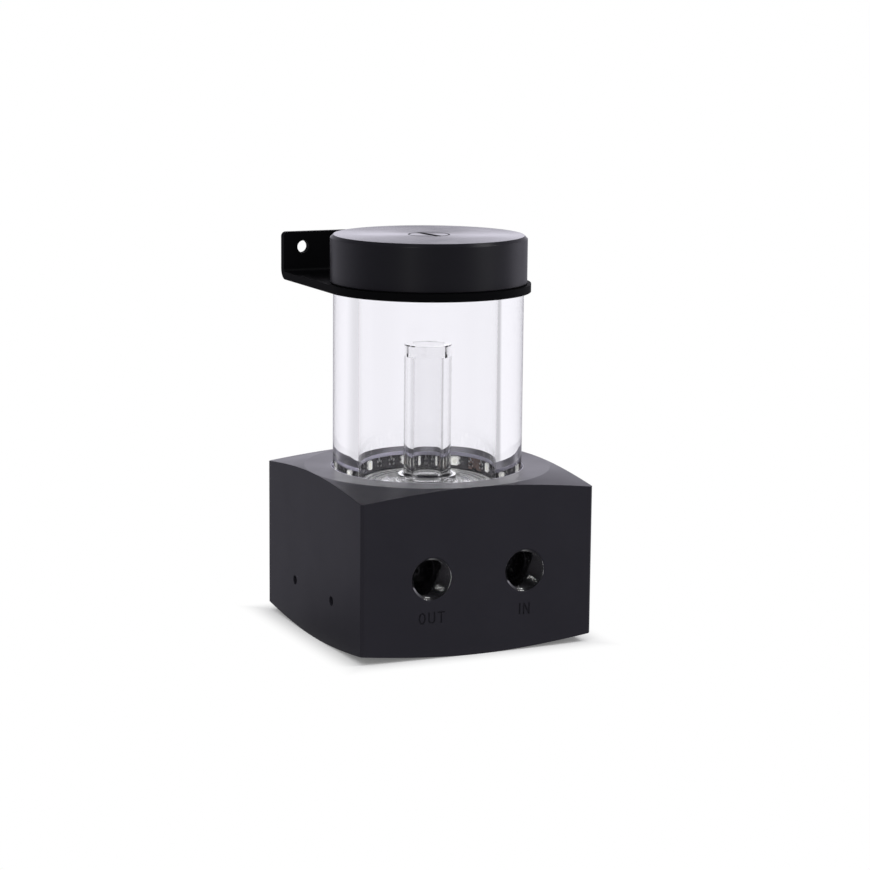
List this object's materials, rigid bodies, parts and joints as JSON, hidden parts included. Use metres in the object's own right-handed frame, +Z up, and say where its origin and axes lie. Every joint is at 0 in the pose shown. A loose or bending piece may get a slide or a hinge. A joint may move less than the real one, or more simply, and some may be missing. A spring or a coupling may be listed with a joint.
{
  "type": "water cooling reservoir with pump",
  "caption": "Square black base with a pump and two threaded ports, clear thick-walled tube with a stand pipe, turned screw cap with fill plug, and a swivelling bracket.",
  "frame": {"origin": "centre of the resting face under the block, on the axis of tube and pump", "axes": "+Z up along the tube axis, -Y out of the port face, +X to the right seen from the port face"},
  "size_m": [0.0782, 0.0841, 0.1259],
  "materials": {
    "block": "machined black acetal, turned top, milled sides",
    "cap": "turned black acetal",
    "plug": "turned black acetal",
    "clear": "polished clear acrylic",
    "seal": "black nitrile rubber",
    "bracket": "black powder-coated sheet steel",
    "strip": "black flexible circuit with bare copper pads",
    "led": "white package with a clear lens",
    "resistor": "black chip with tinned ends",
    "lead": "black insulated lead",
    "impeller": "moulded natural plastic",
    "pump_plastic": "moulded black plastic",
    "magnet": "sintered ferrite",
    "bush": "carbon",
    "shaft": null,
    "washer": "low-friction plastic",
    "core": "stacked electrical steel",
    "coil": null,
    "board": "green circuit board",
    "chip": "black chip packages",
    "screw": "black-oxide steel",
    "cover": "milled black acetal",
    "grommet": "black rubber"
  },
  "bodies": {
    "base": {"base_block": "block", "reservoir_tube": "clear", "tube_foot_seal": "seal", "floor_plate": "clear", "stand_pipe": "clear", "stand_pipe_seal": "seal", "led_strip": "strip", "leds": "led", "led_resistors": "resistor", "strip_lead": "lead", "inlet_plate": "pump_plastic", "pump_shaft": "shaft", "thrust_washer": "washer", "pump_can": "pump_plastic", "pump_can_seal": "seal", "pump_can_screws": "screw", "stator_core": "core", "stator_coils": "coil", "driver_board": "board", "board_parts": "chip", "bottom_cover": "cover", "bottom_cover_screws": "screw", "cable_grommet": "grommet"},
    "rotor": {"impeller": "impeller", "rotor_magnet": "magnet", "rotor_bearing": "bush"},
    "bracket": {"top_bracket": "bracket"},
    "cap_ring": {"cap_seal": "seal"},
    "cap": {"top_cap": "cap"},
    "plug": {"fill_plug": "plug", "fill_plug_seal": "seal"}
  },
  "joints": [
    {"name": "rotor_spin", "type": "hinge", "parent": "base", "child": "rotor", "pos_m": [0, 0, 0.02], "axis": [0, 0, 1], "continuous": true},
    {"name": "bracket_swivel", "type": "hinge", "parent": "base", "child": "bracket", "pos_m": [0, 0, 0.1096], "axis": [0, 0, 1], "continuous": true},
    {"name": "cap_lift", "type": "slide", "parent": "base", "child": "cap_ring", "axis": [0, 0, 1], "range_m": [0, 0.009]},
    {"name": "cap_turn", "type": "hinge", "parent": "cap_ring", "child": "cap", "pos_m": [0, 0, 0.115], "axis": [0, 0, 1], "range_deg": [0, 1620]},
    {"name": "plug_lift", "type": "slide", "parent": "cap", "child": "plug", "axis": [0, 0, 1], "range_m": [0, 0.012]}
  ],
  "couplings": [
    {"joint": "cap_lift", "follows": "cap_turn", "m_per_rad": 0.00031831}
  ]
}
